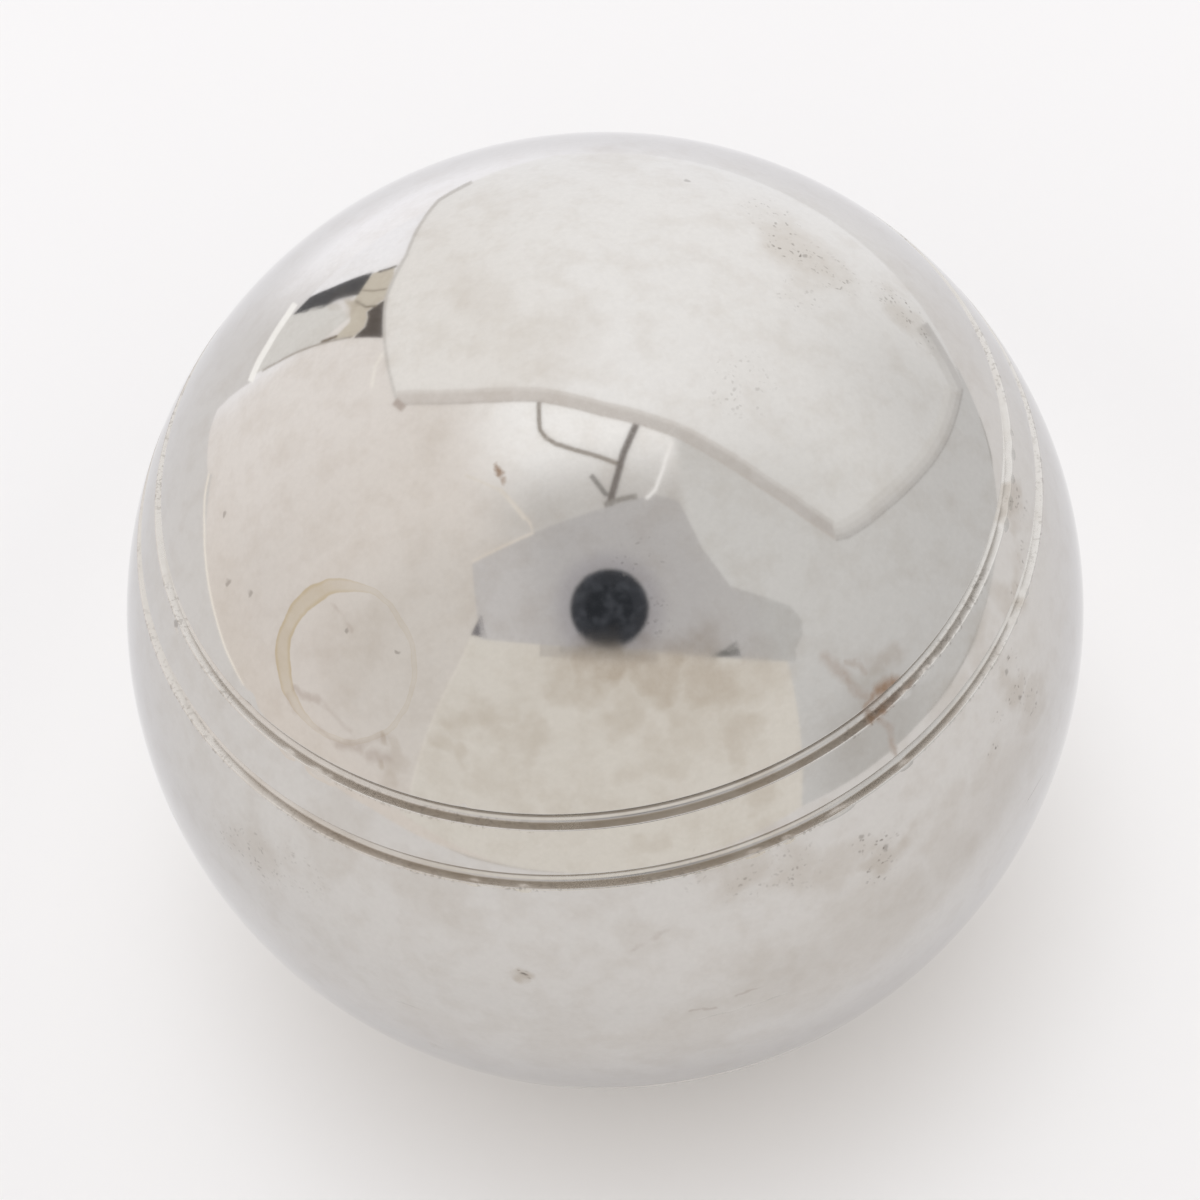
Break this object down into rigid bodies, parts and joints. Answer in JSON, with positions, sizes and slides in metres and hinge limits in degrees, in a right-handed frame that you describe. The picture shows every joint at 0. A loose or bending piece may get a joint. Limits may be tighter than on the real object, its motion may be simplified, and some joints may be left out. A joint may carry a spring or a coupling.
{
  "type": "petanque boule",
  "caption": "Hollow chromed steel petanque ball welded from two half shells, with paired turned grooves on each side of the flush weld.",
  "frame": {"origin": "centre of the ball, which is also the centre of its cavity and of the weld", "axes": "+Z along the axis that the ball was turned on, square to the weld and to the grooves; X and Y lie in the plane of the weld and are equivalent, because every solid is a body of revolution about Z"},
  "size_m": [0.074, 0.074, 0.074],
  "materials": {
    "upper_shell_steel": "polished",
    "lower_shell_steel": "polished",
    "weld_metal": "polished"
  },
  "bodies": {
    "root": {"upper_half_shell": "upper_shell_steel", "lower_half_shell": "lower_shell_steel", "weld_bead": "weld_metal"}
  },
  "joints": []
}
